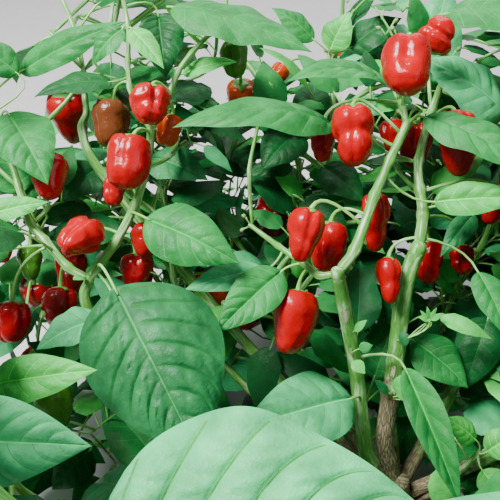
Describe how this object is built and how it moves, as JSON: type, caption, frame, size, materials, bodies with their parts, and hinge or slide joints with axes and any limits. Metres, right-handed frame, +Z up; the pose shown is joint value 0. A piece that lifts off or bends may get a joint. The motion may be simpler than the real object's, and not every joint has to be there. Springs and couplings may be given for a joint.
{
  "type": "chilli pepper plant",
  "caption": "Bushy chilli pepper plant with a short flared trunk, spreading green boughs, broad pointed leaves and hanging lobed red fruit.",
  "frame": {"origin": "middle of the flat cut under the trunk, at ground level", "axes": "+Z up; -Y towards the picture's camera; +X to the right in the picture"},
  "size_m": [0.7578, 0.6692, 0.4603],
  "materials": {
    "bark": "corky grey-brown bark over green, matt",
    "green_stem": "green young wood with paler ribs, satin",
    "foliage": "satin green leaves with paler veins",
    "fruit": "glossy ripe red skin, a few orange or green"
  },
  "bodies": {
    "root": {"trunk": "bark", "right_stem": "green_stem", "centre_stem": "green_stem", "left_stem": "green_stem", "back_left_stem": "green_stem", "front_stem": "green_stem", "front_left_stem": "green_stem", "front_right_stem": "green_stem", "far_right_stem": "green_stem", "back_right_stem": "green_stem", "back_stem": "green_stem", "inner_stem": "green_stem", "left_back_stem": "green_stem", "low_left_stem": "green_stem", "low_right_stem": "green_stem", "low_front_stem": "green_stem", "low_back_stem": "green_stem", "foliage_top_right": "foliage", "foliage_centre_right": "foliage", "foliage_left": "foliage", "foliage_back_left": "foliage", "foliage_front": "foliage", "foliage_front_left": "foliage", "foliage_front_right": "foliage", "foliage_far_right": "foliage", "foliage_back_right": "foliage", "foliage_back": "foliage", "foliage_inner": "foliage", "foliage_left_back": "foliage", "foliage_low_left": "foliage", "foliage_low_right": "foliage", "foliage_low_front": "foliage", "foliage_low_back": "foliage", "side_leaf_low": "foliage", "side_leaf_curled": "foliage", "side_leaf_right": "foliage", "side_leaf_slim": "foliage"}
  },
  "joints": []
}
